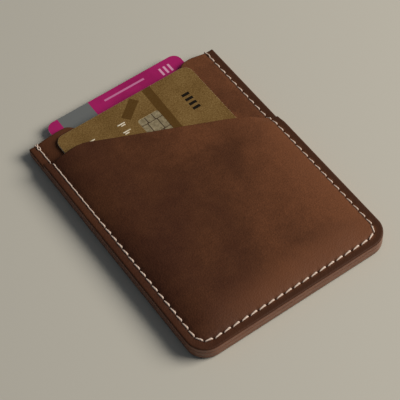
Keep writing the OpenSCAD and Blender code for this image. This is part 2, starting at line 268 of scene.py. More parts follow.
swell = {
    "footInset": 3.6,        # where the leather starts to rise over the cards
    "leftFull": -29.3,       # and where its inside is at its full height
    "rightFull": 27.0,
    "bottomFull": 5.85,
    "leftReach": 11.0,       # the outside eases up over a longer way, like a pillow
    "rightReach": 17.0,
    "bottomReach": 13.0,
    "ease": 2.3,
}


def swellInside(x, y):
    foot = swell["footInset"]
    left = smooth((x + halfWidth - foot) / (swell["leftFull"] + halfWidth - foot))
    right = smooth((halfWidth - foot - x) / (halfWidth - foot - swell["rightFull"]))
    bottom = smooth((y + halfLength - foot) / (swell["bottomFull"] - foot))
    return left * right * bottom


def swellOutside(x, y):
    foot = swell["footInset"] - 0.5
    rise = 1.0
    for inset, reach in ((x + halfWidth, swell["leftReach"]), (halfWidth - x, swell["rightReach"]),
                         (y + halfLength, swell["bottomReach"])):
        rise = rise * (1 - (1 - np.clip((inset - foot) / reach, 0, 1)) ** swell["ease"])
    return rise


def pinch(x, y, reach):  # 1 at a stitch hole, fading out over the reach
    nearest = np.full(x.shape, np.inf)
    for (px, py), _ in holePlaces:
        nearest = np.minimum(nearest, (x - px) ** 2 + (y - py) ** 2)
    return np.exp(-nearest / reach ** 2)


def seamGroove(x, y, width):  # 1 on the stitch line
    line = np.abs(sewnDistance(x, y) - stitching["inset"])
    return np.exp(-(line / width) ** 2) * smooth((holeTopY + 1.2 - y) / 1.2)


relief = {
    "rimR": 0.55,            # burnished outer edge
    "footR": 1.1,            # the back panel's lower edge curls under more
    "layerR": 0.05,          # edge between two layers
    "bulge": 0.03,           # the cut edge is slightly full
    "dip": 0.12,             # the thread pulls the seam down, so that the margin tilts inwards
    "dipReach": 0.9,
    "grooveDepth": 0.03,     # shallow groove that the stitches lie in
    "grooveWidth": 0.5,
    "pinchDepth": 0.26,      # dimple at each hole
    "pinchReach": 0.55,
    "waves": 0.14,           # unevenness of the hide over the cards
    "waveSize": 17.0,
    "waveSeed": 3.1,
    "backGroove": 0.6,       # deeper groove on the back
    "backGrooveWidth": 0.74,
    "skive": 0.9,            # the front panel is pared thin where its edge meets the right seam
    "skiveX": 28.0,
    "skiveWidth": 5.0,
    "skiveReach": 4.0,
}


def outerFace(panel, x, y, base, rise):
    d = sewnDistance(x, y)
    z = base + rise * swellOutside(x, y)
    past = np.maximum(d - stitching["inset"], 0)
    z -= relief["dip"] * np.clip(d / stitching["inset"], 0, 1) * np.exp(-(past / relief["dipReach"]) ** 2)
    z -= rounded(edgeDistance(panel, x, y), relief["rimR"])
    z -= relief["grooveDepth"] * seamGroove(x, y, relief["grooveWidth"])
    z -= relief["pinchDepth"] * pinch(x, y, relief["pinchReach"])
    return z


def skived(x, y):
    near = 1 - smooth(openDistance("front", x, y) / relief["skiveReach"])
    return relief["skive"] * smooth((x - relief["skiveX"]) / relief["skiveWidth"]) * near


def frontOutside(x, y):
    z = outerFace("front", x, y, frontTop, frontRise) - skived(x, y)
    waves = softWaves(x, y, relief["waveSize"], relief["waveSeed"])
    return z + relief["waves"] * waves * swellOutside(x, y)


def frontInside(x, y):
    return middleTop + 0.01 + frontRise * swellInside(x, y) \
        + rounded(edgeDistance("front", x, y), relief["layerR"])


def middleOutside(x, y):
    exposed = smooth((y - topEdge("front", x) + 2) / 1.5)  # from just inside the front pocket's edge
    shown = outerFace("middle", x, y, middleTop, middleRise)
    hidden = middleTop + middleRise * swellInside(x, y) \
        - rounded(edgeDistance("middle", x, y), relief["layerR"])
    return exposed * shown + (1 - exposed) * np.minimum(hidden, shown + relief["rimR"])


def middleInside(x, y):
    return layer + 0.01 + middleRise * swellInside(x, y) \
        + rounded(edgeDistance("middle", x, y), relief["layerR"])


def backInside(x, y):
    return layer - rounded(edgeDistance("back", x, y), relief["layerR"])


def backOutside(x, y):
    z = rounded(edgeDistance("back", x, y), relief["footR"])
    line = np.abs(sewnDistance(x, y) - stitching["inset"])
    return z + relief["backGroove"] * np.exp(-(line / relief["backGrooveWidth"]) ** 4)


def settle(points):
    # the open end has been pulled out of square, threads and all
    points = np.array(points, float)
    left = smooth((sleeve["pulledX"] - points[:, 0]) / sleeve["pulledReachX"])
    up = smooth((points[:, 1] - sleeve["pulledY"]) / sleeve["pulledReachY"])
    points[:, 1] += sleeve["pulled"] * left * up
    return points


def spread(length, cell, fine):  # lattice lines: fine ones first, then even cells
    count = max(2, round((length - fine[-1]) / cell))
    return np.concatenate([fine[:-1], np.linspace(fine[-1], length, count + 1)])


def panelLattice(panel):
    fineSide = np.array([0, 0.05, 0.16, 0.34, 0.6, 0.95, 1.35])  # close lines, for the rounded edge
    half = spread(halfWidth, sleeve["cell"], fineSide)
    columns = np.concatenate([half - halfWidth, (halfWidth - half[:-1])[::-1]])
    # rows crowd where a corner curves most
    low = cornerR * (1 - np.cos(np.linspace(0, math.pi / 2, 19)))
    high = sleeve["cutCornerR"] * (1 - np.cos(np.linspace(0, math.pi / 2, 6)))
    span = 2 * halfLength - low[-1] - high[-1]
    if panel == "front":
        span -= halfLength - sleeve["frontLeftY"]
    even = np.linspace(low[-1], low[-1] + span, round(span / sleeve["cell"]) + 1)
    rows = np.concatenate([low[:-1], even, even[-1] + high[-1] - high[::-1][1:]]) - halfLength
    u, v = np.meshgrid(columns, rows, indexing="ij")
    below = np.clip(cornerR - (v + halfLength), 0, cornerR)
    pull = cornerR - np.sqrt(cornerR ** 2 - below ** 2)
    cut = sleeve["frontCornerR" if panel == "front" else "cutCornerR"]
    above = np.clip(cut - (rows[-1] - v), 0, cut)
    pull = pull + cut - np.sqrt(cut ** 2 - above ** 2)
    x = u * (1 - pull / halfWidth)
    start = {"back": 0.0, "middle": 30.0, "front": -30.0}[panel]  # rows past this follow the open edge
    y = np.where(v > start, start + (v - start) * (topEdge(panel, x) - start) / (rows[-1] - start), v)
    return x, y


def newObject(name, data):
    piece = bpy.data.objects.new(name, data)
    bpy.context.scene.collection.objects.link(piece)
    return piece


def makeMesh(name, points, faces, materials, faceMaterials=None, attributes=None, sharp=50):
    mesh = bpy.data.meshes.new(name)
    mesh.from_pydata((np.array(points) * mm).tolist(), [], faces)
    for material in materials:
        mesh.materials.append(material)
    if faceMaterials is not None:
        mesh.polygons.foreach_set("material_index", np.array(faceMaterials, np.int32))
    for key, values in (attributes or {}).items():
        mesh.attributes.new(key, "FLOAT", "POINT").data.foreach_set("value", np.array(values, np.float32))
    mesh.polygons.foreach_set("use_smooth", np.ones(len(mesh.polygons), bool))
    mesh.set_sharp_from_angle(angle=math.radians(sharp))
    mesh.validate()
    mesh.update()
    return newObject(name, mesh)


waxAndPaintedLight = {
    "sides": 0.8,            # painted sheen on the bend along the sewn sides, from the middle to the right, on the slopes that face the window
    "sideInset": 5.0,
    "sideWidth": 2.6,
    "sideX": -22.0,
    "footInset": 6.0,        # painted sheen along the closed end
    "footWidth": 7.0,
    "footX": -31.0,
    "fade": 24.0,
    "lip": 0.4,              # the middle panel is only painted lighter, at its top left corner
    "lipX": -18.0,
    "lipY": 34.0,
    "marginWidth": 1.6,      # waxed dark margin, with painted shade; fainter on the left, where it tilts towards the window
    "marginLeft": 0.3,
    # reach of the painted shade round each stitch hole
    "holeReach": 0.42,
}


def waxAndPaintedLightMarks(panel, x, y):  # where the grain leather gets painted sheen and lightening, a waxed dark margin with painted shade, and painted shade at the holes
    inset = sewnDistance(x, y)
    sides = waxAndPaintedLight["sides"] * np.exp(-((inset - waxAndPaintedLight["sideInset"]) / waxAndPaintedLight["sideWidth"]) ** 2)
    foot = np.exp(-(np.maximum(y + halfLength - waxAndPaintedLight["footInset"], 0) / waxAndPaintedLight["footWidth"]) ** 2)
    worn = np.maximum(sides * smooth((x - waxAndPaintedLight["sideX"]) / waxAndPaintedLight["fade"]),
                      foot * smooth((x - waxAndPaintedLight["footX"]) / waxAndPaintedLight["fade"]))
    if panel == "middle":
        worn = waxAndPaintedLight["lip"] * smooth((waxAndPaintedLight["lipX"] - x) / 8) * smooth((y - waxAndPaintedLight["lipY"]) / 5)
    # the margin's darkening is partly painted shade: weak on the left, where the margin tilts towards the
    # window, full towards the right, where it tilts away
    strength = waxAndPaintedLight["marginLeft"] + (1 - waxAndPaintedLight["marginLeft"]) * smooth((x + 32) / 22)
    margin = 1 - smooth((inset - waxAndPaintedLight["marginWidth"]) / waxAndPaintedLight["marginWidth"])
    return {"margin": margin * strength, "worn": worn, "pinch": pinch(x, y, waxAndPaintedLight["holeReach"])}


def openHoles(panel, x, y):
    # leaves out the cells at each stitch hole, and closes the corners round them up to its slit
    kept = np.ones((x.shape[0] - 1, x.shape[1] - 1), bool)
    around = [(1, 0), (1, 1), (0, 1), (-1, 1), (-1, 0), (-1, -1), (0, -1), (1, -1)]
    for (holeX, holeY), (outX, outY) in holePlaces:
        if holeY > topEdge(panel, holeX) - 0.9:  # this hole is past the panel's edge
            continue
        i, j = np.unravel_index(np.argmin((x - holeX) ** 2 + (y - holeY) ** 2), x.shape)
        kept[i - 1:i + 1, j - 1:j + 1] = False
        for di, dj in around:
            dx, dy = x[i + di, j + dj] - holeX, y[i + di, j + dj] - holeY
            across, along = dx * outX + dy * outY, dx * -outY + dy * outX
            along -= stitching["lean"] * across
            size = math.hypot(across / stitching["slitAcross"], along / stitching["slitAlong"])
            across, along = across / size, along / size
            along += stitching["lean"] * across
            x[i + di, j + dj] = holeX + across * outX - along * outY
            y[i + di, j + dj] = holeY + across * outY + along * outX
    return kept


grainSide, fleshSide, cutEdge = 0, 1, 2  # a panel's materials, in their order


def panelWalls(panel, kept, top, bottom):
    # walls round the outline, with a slightly full profile, and straight ones down the holes
    n, m = kept.shape[0] + 1, kept.shape[1] + 1
    count, levels, step = n * m, 3, 0.05
    grid = np.pad(kept, 1)
    rim, between, faces, faceMaterials = {}, [], [], []

    def rimRow(index):
        if index not in rim:
            px, py = top[index][:2]
            slopeX = edgeDistance(panel, px + step, py) - edgeDistance(panel, px - step, py)
            slopeY = edgeDistance(panel, px, py + step) - edgeDistance(panel, px, py - step)
            out = -np.array([slopeX, slopeY, 0]) / max(math.hypot(slopeX, slopeY), 1e-6)
            made = 2 * count + len(between)
            for k in range(1, levels):
                full = relief["bulge"] * math.sin(math.pi * k / levels)
                between.append(top[index] + (bottom[index] - top[index]) * k / levels + out * full)
            rim[index] = [index] + list(range(made, made + levels - 1)) + [index + count]
        return rim[index]

    for i, j in zip(*np.nonzero(kept)):
        corners = [i * m + j, (i + 1) * m + j, (i + 1) * m + j + 1, i * m + j + 1]
        beyond = [(i + 1, j), (i + 2, j + 1), (i + 1, j + 2), (i, j + 1)]
        for k, (gi, gj) in enumerate(beyond):
            if grid[gi, gj]:
                continue
            first, second = corners[k], corners[(k + 1) % 4]
            outline = gi in (0, n) or gj in (0, m)
            left = rimRow(first) if outline else [first, first + count]
            right = rimRow(second) if outline else [second, second + count]
            for t in range(len(left) - 1):
                faces.append([right[t], left[t], left[t + 1], right[t + 1]])
                faceMaterials.append(cutEdge if outline else fleshSide)
    return between, faces, faceMaterials


def leatherPanel(name, panel, outside, inside, outsideUp, materials):
    # the outside is the face on top, or underneath for the back panel
    x, y = panelLattice(panel)
    kept = openHoles(panel, x, y)
    upper, lower = (outside, inside) if outsideUp else (inside, outside)
    top = np.stack([x, y, upper(x, y)], axis=-1).reshape(-1, 3)
    bottom = np.stack([x, y, lower(x, y)], axis=-1).reshape(-1, 3)
    count, m = x.size, x.shape[1]
    i, j = np.nonzero(kept)
    a, b, c, d = i * m + j, (i + 1) * m + j, (i + 1) * m + j + 1, i * m + j + 1
    faces = np.concatenate([np.stack([a, b, c, d], axis=1),
                            np.stack([a, d, c, b], axis=1) + count]).tolist()
    sides = (grainSide, fleshSide) if outsideUp else (fleshSide, grainSide)
    faceMaterials = [sides[0]] * len(i) + [sides[1]] * len(i)
    wallPoints, wallFaces, wallMaterials = panelWalls(panel, kept, top, bottom)
    points = np.concatenate([top, bottom, wallPoints])
    faces = np.array(faces + wallFaces)

    used = np.unique(faces)  # the corners inside the holes are left behind
    renumber = np.zeros(len(points), int)
    renumber[used] = np.arange(len(used))
    points = points[used]
    marks = waxAndPaintedLightMarks(panel, points[:, 0], points[:, 1])
    piece = makeMesh(name, settle(points), renumber[faces].tolist(), materials,
                     faceMaterials + wallMaterials, marks)
    print(name, len(points), "points")
    return piece


# veg-tanned cowhide finished with wax, which darkens it and gives a soft, cloudy glow
leather = {
    "dark": "#472718",
    "mid": "#58341F",
    "light": "#70442A",
    "margin": "#412618",
    "edge": "#7B4E38",
    "edgeDark": "#643C2A",
    "edgeLight": "#8E6049",
    "flesh": "#7A5A43",
    "fleshDark": "#553B2A",
    "hole": "#1A0C07",
    "roughness": (0.52, 0.68),
    "edgeRoughness": (0.28, 0.45),
    "cloudSize": 21.0,       # cloudy patches where the wax has moved
    "mottleSize": 4.2,
    "grainSize": 0.55,       # cells of the grain; real ones are about 0.2 and wouldn't show
    "poreSize": 0.5,         # pores, drawn about five times too coarse for the same reason
    "lighterRight": 0.22,         # how much lighter the right side is
    "napSize": 0.5,          # suede fibres, drawn coarser than the real 0.1
    "napPatch": 6.0,
    "layerSize": 3.2,        # streaks along a burnished edge
    "edgeFibre": 0.4,        # closed fibres of the cut edge, drawn coarser than the real 0.1
}


def grainLeather():
    # waxed veg-tan hide, smooth side: deep brown with wax clouds and a broad satin sheen
    material, tree, shader, place = newMaterial("waxedVegTanGrain", IOR=1.5, Specular_IOR_Level=0.16)
    at = {"Vector": (place, "Object")}
    clouds = addNode(tree, "TexNoise", {"Scale": perMetre(leather["cloudSize"]), "Detail": 4.0,
                                        "Roughness": 0.5, "Distortion": 0.3}, at)
    mottle = addNode(tree, "TexNoise", {"Scale": perMetre(leather["mottleSize"]), "Detail": 6.0,
                                        "Roughness": 0.74}, at)
    grain = addNode(tree, "TexVoronoi", {"Scale": perMetre(leather["grainSize"])}, at)
    fine = addNode(tree, "TexNoise", {"Scale": perMetre(leather["poreSize"]), "Detail": 4.0,
                                      "Roughness": 0.7}, at)
    both = addNode(tree, "Math", {"operation": "MULTIPLY_ADD", 1: 0.42}, {0: (mottle, 0), 2: (clouds, 0)})
    # the colour grows lighter towards the right side
    across = addNode(tree, "SeparateXYZ", {}, {0: (place, "Object")})
    lighterRight = addNode(tree, "Math", {"operation": "MULTIPLY_ADD", 1: leather["lighterRight"] / (halfWidth * mm)},
                      {0: (across, 0), 2: (both, 0)})
    ramp = addNode(tree, "ValToRGB", {"stops": [(0.38, leather["dark"]), (0.7, leather["mid"]),
                                                (1.1, leather["light"])]}, {"Fac": (lighterRight, 0)})
    speck = addNode(tree, "ValToRGB", {"stops": [(0.3, 0.68), (0.7, 1.2)]}, {"Fac": (fine, 0)})
    tint = addNode(tree, "Mix", {"data_type": "RGBA", "blend_type": "MULTIPLY", 0: 1.0},
                   {6: (ramp, 0), 7: (speck, 0)})
    # the bend over the cards gets painted sheen, the margin is waxed dark with painted shade, the holes get
    # painted shade
    for mark, cover, over in (("worn", 0.68, "light"), ("margin", 0.88, "margin"), ("pinch", 0.5, "hole")):
        marked = addNode(tree, "Attribute", {"attribute_name": mark})
        amount = addNode(tree, "Math", {"operation": "MULTIPLY", 1: cover}, {0: (marked, "Fac")})
        tint = addNode(tree, "Mix", {"data_type": "RGBA", 7: colour(leather[over])},
                       {0: (amount, 0), 6: (tint, 2)})
    pores = addNode(tree, "Math", {"operation": "MULTIPLY_ADD", 1: 0.4},
                    {0: (fine, 0), 2: (grain, "Distance")})
    finish(tree, shader, (tint, 2), (pores, 0), 0.3, 0.16, (mottle, 0), leather["roughness"])
    return material


def fleshLeather():
    # the hide's inner side: pale brown suede that scatters light and has no gloss
    material, tree, shader, place = newMaterial("fleshSideSuede", Roughness=0.95, Specular_IOR_Level=0.2)
    at = {"Vector": (place, "Object")}
    nap = addNode(tree, "TexNoise", {"Scale": perMetre(leather["napSize"]), "Detail": 6.0,
                                     "Roughness": 0.75}, at)
    patch = addNode(tree, "TexNoise", {"Scale": perMetre(leather["napPatch"]), "Detail": 3.0}, at)
    both = addNode(tree, "Math", {"operation": "MULTIPLY_ADD", 1: 0.7}, {0: (nap, 0), 2: (patch, 0)})
    ramp = addNode(tree, "ValToRGB", {"stops": [(0.65, leather["fleshDark"]), (1.0, leather["flesh"])]},
                   {"Fac": (both, 0)})
    finish(tree, shader, (ramp, 0), (nap, 0), 0.6, 0.15)
    return material


def burnishedEdge():
    # cut edge rubbed with wax until the fibres close: smooth and satin, with streaks along the layers
    material, tree, shader, place = newMaterial("burnishedWaxedEdge", IOR=1.5, Specular_IOR_Level=0.3,
                                                Coat_Weight=0.12, Coat_Roughness=0.3)
    at = {"Vector": (place, "Object")}
    stretch = addNode(tree, "Mapping", {"Scale": (1.0, 1.0, 7.0)}, at)
    layers = addNode(tree, "TexNoise", {"Scale": perMetre(leather["layerSize"]), "Detail": 6.0,
                                        "Roughness": 0.7}, {"Vector": (stretch, 0)})
    fibres = addNode(tree, "TexNoise", {"Scale": perMetre(leather["edgeFibre"]), "Detail": 4.0}, at)
    ramp = addNode(tree, "ValToRGB", {"stops": [(0.3, leather["edgeDark"]), (0.52, leather["edge"]),
                                                (0.78, leather["edgeLight"])]}, {"Fac": (layers, 0)})
    finish(tree, shader, (ramp, 0), (layers, 0), 0.25, 0.1, (fibres, 0), leather["edgeRoughness"])
    return material


leatherMaterials = [grainLeather(), fleshLeather(), burnishedEdge()]
panels = [
    ("back_panel", "back", backOutside, backInside, False),
    ("middle_panel", "middle", middleOutside, middleInside, True),
    ("front_panel", "front", frontOutside, frontInside, True),
]
for node, panel, outside, inside, outsideUp in panels:
    piece = leatherPanel(node + "_leather", panel, outside, inside, outsideUp, leatherMaterials)
    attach(piece, "sleeve")
    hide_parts(node)
print("leather panels made")


thread = {
    "colour": "#FBEBDE",
    # painted shade between the plies, also used for soiling
    "soilAndShade": "#CBB19D",
    "fibreSize": 0.22,       # flax fibres, drawn ten times too coarse, or they wouldn't show
    "soilSize": 5.0,
    "sides": 12,
}


def waxedThread():
    # three-ply waxed linen: pinkish cream, satin from the wax, with painted shade in the lay between the
    # plies and faint soiling
    material, tree, shader, place = newMaterial("waxedLinenThread", Roughness=0.5, IOR=1.45,
                                                Sheen_Weight=0.15)
    at = {"Vector": (place, "Object")}
    fibre = addNode(tree, "TexNoise", {"Scale": perMetre(thread["fibreSize"]), "Detail": 4.0,
                                       "Roughness": 0.7}, at)
    soil = addNode(tree, "TexNoise", {"Scale": perMetre(thread["soilSize"]), "Detail": 2.0}, at)
    groove = addNode(tree, "Attribute", {"attribute_name": "groove"})
    both = addNode(tree, "Math", {"operation": "MULTIPLY_ADD", 1: 0.5}, {0: (soil, 0), 2: (groove, "Fac")})
    ramp = addNode(tree, "ValToRGB", {"stops": [(0.25, thread["colour"]), (1.2, thread["soilAndShade"])]},
                   {"Fac": (both, 0)})
    finish(tree, shader, (ramp, 0), (fibre, 0), 0.4, 0.05)
    return material


threadMaterial = waxedThread()


def twistedThread(path, radii, closed=False):
    # sweeps a section with a lobe for each ply along the path and turns it as it goes
    path = np.array(path, float)
    count, sides = len(path), thread["sides"]
    ahead = np.roll(path, -1, axis=0) - np.roll(path, 1, axis=0)
    if not closed:
        ahead[0], ahead[-1] = path[1] - path[0], path[-1] - path[-2]
    ahead /= np.linalg.norm(ahead, axis=1)[:, None]
    normal = np.cross(ahead[0], (0.3, 0.5, 0.8))
    points, grooves, turned = [], [], 0.0
    for k in range(count):
        normal = normal - ahead[k] * normal.dot(ahead[k])
        normal /= np.linalg.norm(normal)
        side = np.cross(ahead[k], normal)
        if k:
            turned += np.linalg.norm(path[k] - path[k - 1]) / stitching["lay"] * 2 * math.pi
        for q in range(sides):
            a = 2 * math.pi * q / sides
            lobe = math.cos(stitching["plies"] * (a - turned))
            r = radii[k] * (0.92 + 0.1 * lobe)
            points.append(path[k] + r * (math.cos(a) * normal + math.sin(a) * side))
            grooves.append(0.5 - 0.5 * lobe)
    faces = []
    for k in range(count if closed else count - 1):
        for q in range(sides):
            a, b = k * sides + q, k * sides + (q + 1) % sides
            c, d = (k + 1) % count * sides + (q + 1) % sides, (k + 1) % count * sides + q
            faces.append([a, b, c, d])
    if not closed:
        faces.append(list(range(sides - 1, -1, -1)))
        faces.append([(count - 1) * sides + q for q in range(sides)])
    return points, faces, grooves


def surfaceHeight(x, y):  # the leather that a stitch lies on, without the pinch at its holes
    rise = smooth((topEdge("front", x) + 0.9 - y) / 1.8)
    return middleTop + (frontTop - middleTop - skived(x, y)) * rise - relief["dip"] - relief["grooveDepth"]


def shiftedHole(i, offset):  # a place in hole i, that far outwards from its middle
    (x, y), (outX, outY) = holePlaces[i]
    return x + offset * outX, y + offset * outY


def frontStitch(i, points, radii):  # from hole i to the next, slanting inwards
    tight = smooth((stitching["tight"] + 3 - i) / 5)
    offset = stitching["offset"] * (1 - 0.6 * tight)
    (ax, ay), (bx, by) = shiftedHole(i, offset), shiftedHole(i + 1, -offset)
    dive = stitching["dive"] - 0.45 * tight
    depth = stitching["depth"] - 0.8 * tight
    steps = 20
    rightSide = i > stitching["count"] / 2 + 10  # from about the right corner on
    for k in range(steps + 1):
        t = 0.5 - 0.5 * math.cos(math.pi * k / steps)
        x, y = ax + (bx - ax) * t, ay + (by - ay) * t
        sink = smooth(1 - t * pitch / dive) + smooth(1 - (1 - t) * pitch / dive)
        full = 1 - t if rightSide else t  # up both sides, a stitch is fuller at its lower end
        fullness = smooth((full - 0.15) / 0.6) * (1 - 0.8 * tight)
        r = stitching["thin"] + (stitching["thick"] - stitching["thin"]) * fullness
        r *= stitching["rightScale" if rightSide else "scale"]
        points.append((x, y, surfaceHeight(x, y) + 0.25 * r + 0.04 - depth * sink))
        radii.append(r * (1 - 0.2 * min(sink, 1)))


def backStitch(i, points, radii):  # from hole i to the next, slanting outwards
    (ax, ay), (bx, by) = shiftedHole(i, -stitching["offset"]), shiftedHole(i + 1, stitching["offset"])
    steps = 12
    for k in range(steps + 1):
        t = 0.5 - 0.5 * math.cos(math.pi * k / steps)
        sink = math.exp(-t * pitch / 0.3) + math.exp(-(1 - t) * pitch / 0.3)
        points.append((ax + (bx - ax) * t, ay + (by - ay) * t, stitching["backZ"] + 0.9 * sink))
        radii.append(stitching["backR"] - 0.05 * min(sink, 1))


def needleThread(name, first, last):  # every other stitch shows on the front
    points, radii = [], []
    for i in range(first, last):
        if (i - first) % 2 == 0:
            frontStitch(i, points, radii)
        else:
            backStitch(i, points, radii)
    made, faces, grooves = twistedThread(points, radii)
    return makeMesh(name, settle(made), faces, [threadMaterial], attributes={"groove": grooves}, sharp=80)


edgeTurn = {
    "r": 0.21,               # radius of the thread, and of its bends round the leather
    "bendR": 0.45,
    "low": 0.3,              # height of its middle under the leather, and how far it is above it
    "above": 0.12,
    "past": 0.25,            # how far it is past the open edge and the last hole
    "beforeHole": 0.5,
    "ring": 0.25,            # step along its straight runs, so that the twist shows
}


def edgeTurns(name, i, sways):
    # loops of thread through the last hole and over the open edge; two of them cross and leave an eye
    (holeX, holeY), _ = holePlaces[i]
    low, high = edgeTurn["low"], middleTop + edgeTurn["above"]
    near, far = holeY - edgeTurn["beforeHole"], halfLength + edgeTurn["past"]
    r = edgeTurn["bendR"]
    bends = [(far - r, high - r, 90, 0), (far - r, low + r, 0, -90),
             (near + r, low + r, -90, -180), (near + r, high - r, 180, 90)]
    path = []
    for cy, cz, start, end in bends:
        path += [(holeX, y, z) for y, z in zip(*arc(cy, cz, r, start, end, 6))]
    rings = []
    for point, after in zip(path, path[1:] + path[:1]):
        parts = max(1, round(math.dist(point, after) / edgeTurn["ring"]))
        rings += [np.array(point) + (np.array(after) - np.array(point)) * q / parts for q in range(parts)]
    rings = np.array(rings)
    turn = 1.5 * math.pi * (rings[:, 1] - near) / (far - near) + 0.6
    allPoints, allFaces, allGrooves = [], [], []
    for sway in sways:
        swayed = rings.copy()
        swayed[:, 0] += sway * np.sin(turn)
        swayed[:, 2] += 0.12 * sway * np.cos(turn)
        made, faces, grooves = twistedThread(swayed, [edgeTurn["r"]] * len(rings), closed=True)
        allFaces += [[v + len(allPoints) for v in face] for face in faces]
        allPoints += made
        allGrooves += grooves
    return makeMesh(name, settle(allPoints), allFaces, [threadMaterial], attributes={"groove": allGrooves},
                    sharp=80)


threads = [
    (needleThread("first_needle_stitches", 0, stitching["count"] - 1), "first_needle_thread"),
    (needleThread("second_needle_stitches", 1, stitching["count"]), "second_needle_thread"),
    (edgeTurns("left_edge_turns", 0, (-0.42, 0.42)), "left_edge_wrap"),
    (edgeTurns("right_edge_turns", stitching["count"], (0.22,)), "right_edge_wrap"),
]
for piece, node in threads:
    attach(piece, "sleeve")
    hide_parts(node)
print("thread made")


card = {
    "cornerR": 3.18,
    "bevel": 0.1,            # the punched edge of a card is eased a little
    "contactR": 0.9,
    "contactGap": 0.04,      # round the contacts, in their cut-out
    "padGap": 0.3,
    "padDepth": 0.05,
    "barLength": 3.0,        # raised bars of the gold card, in pairs of thin ones
    "barThin": 0.42,
    "barAway": 0.4,          # from the middle of its pair
    "barShift": 0.35,
    "barStep": 3.6,
    "barStart": 8.45,
    "barRows": [(21.4, 19), (9.5, 12)],  # way in from the long edge, number of pairs
    "barHeight": 0.16,
}


def roundedLoop(cx, cy, w, h, r, steps=8):
    x, y = [], []
    for sx, sy, start in ((1, 1, 0), (-1, 1, 90), (-1, -1, 180), (1, -1, 270)):
        ax, ay = arc(cx + sx * (w / 2 - r), cy + sy * (h / 2 - r), r, start, start + 90, steps)
        x += list(ax)
        y += list(ay)
    return list(zip(x, y))


def plate(name, loops, bottom, top, bevel, material):
    # a flat plate with eased edges; a loop inside another is a window
    curve = bpy.data.curves.new(name, "CURVE")
    curve.dimensions = "2D"
    curve.fill_mode = "BOTH"
    curve.bevel_depth = bevel * mm
    curve.bevel_resolution = 2
    curve.extrude = ((top - bottom) / 2 - bevel) * mm
    curve.offset = -bevel * mm
    for loop in loops:
        spline = curve.splines.new("POLY")
        spline.points.add(len(loop) - 1)
        for point, (x, y) in zip(spline.points, loop):
            point.co = (x * mm, y * mm, 0, 1)
        spline.use_cyclic_u = True
    source = newObject(name + "Source", curve)
    bpy.context.view_layer.update()
    mesh = bpy.data.meshes.new_from_object(source.evaluated_get(bpy.context.evaluated_depsgraph_get()))
    bpy.data.objects.remove(source)
    bpy.data.curves.remove(curve)
    mesh.name = name
    mesh.transform(Matrix.Translation((0, 0, (top + bottom) / 2 * mm)))
    mesh.materials.clear()
    mesh.materials.append(material)
    mesh.polygons.foreach_set("use_smooth", np.ones(len(mesh.polygons), bool))
    mesh.set_sharp_from_angle(angle=math.radians(30))
    return newObject(name, mesh)


def boxMask(tree, place, x, y, w, h, turn):
    # 1 inside a rectangle printed on the card, with its middle at x, y
    moved = addNode(tree, "Mapping", {"vector_type": "TEXTURE", "Location": (x * mm, y * mm, 0),
                                      "Rotation": (0, 0, math.radians(turn)),
                                      "Scale": (w * mm / 2, h * mm / 2, 1)}, {"Vector": (place, "Object")})
    parts = addNode(tree, "SeparateXYZ", {}, {0: (moved, 0)})
    inside = []
    for axis in (0, 1):
        size = addNode(tree, "Math", {"operation": "ABSOLUTE"}, {0: (parts, axis)})
        inside.append(addNode(tree, "Math", {"operation": "LESS_THAN", 1: 1.0}, {0: (size, 0)}))
    return addNode(tree, "Math", {"operation": "MULTIPLY"}, {0: (inside[0], 0), 1: (inside[1], 0)})


def printedFace(tree, place, tint, marks, core):
    for x, y, w, h, turn, ink, cover in marks:
        mask = boxMask(tree, place, x, y, w, h, turn)
        inked = addNode(tree, "Math", {"operation": "MULTIPLY", 1: cover}, {0: (mask, 0)})
        printed = addNode(tree, "Mix", {"data_type": "RGBA", 7: colour(ink)}, {0: (inked, 0), 6: tint})
        tint = (printed, 2)
    # the print is on the flat faces only: the eased edge shows the core
    normal = addNode(tree, "SeparateXYZ", {}, {0: (place, "Normal")})
    up = addNode(tree, "Math", {"operation": "ABSOLUTE"}, {0: (normal, 2)})
    flat = addNode(tree, "Math", {"operation": "GREATER_THAN", 1: 0.93}, {0: (up, 0)})
    return addNode(tree, "Mix", {"data_type": "RGBA", 6: colour(core)}, {0: (flat, 0), 7: tint})


goldCard = {
    "base": "#826437",
    "dark": "#6A4F26",
    "fleck": "#977B4B",
    "core": "#D8C79E",
    "roughness": (0.34, 0.5),
    "fleckSize": 0.45,       # grains of the ink, drawn ten times too coarse, or they wouldn't show
    "driftSize": 9.0,
    # printed boxes: x, y, width, height, turn, ink, cover
    "marks": [(7.4, 36.0, 3.3, 24.0, -2.0, "#573A10", 0.8), (-1.4, 42.4, 3.4, 8.6, -52.0, "#573A10", 0.8)]
    + [(17.2, y, 2.9, 1.15, 0.0, "#1B140C", 1.0) for y in (36.4, 34.2, 32.0, 29.8)],
}


def goldPrint(name, marks):
    # laminated PVC with a metallic ink: dull olive gold that sparkles in fine grains
    material, tree, shader, place = newMaterial(name, Metallic=0.12, Specular_IOR_Level=0.25)
    at = {"Vector": (place, "Object")}
    flecks = addNode(tree, "TexNoise", {"Scale": perMetre(goldCard["fleckSize"]), "Detail": 3.0,
                                        "Roughness": 0.8}, at)
    drift = addNode(tree, "TexNoise", {"Scale": perMetre(goldCard["driftSize"]), "Detail": 2.0}, at)
    both = addNode(tree, "Math", {"operation": "MULTIPLY_ADD", 1: 0.3}, {0: (drift, 0), 2: (flecks, 0)})
    ramp = addNode(tree, "ValToRGB", {"stops": [(0.5, goldCard["dark"]), (0.66, goldCard["base"]),
                                                (0.82, goldCard["fleck"])]}, {"Fac": (both, 0)})
    tint = printedFace(tree, place, (ramp, 0), marks, goldCard["core"])
    finish(tree, shader, (tint, 2), (flecks, 0), 0.08, 0.05, (flecks, 0), goldCard["roughness"])
    return material


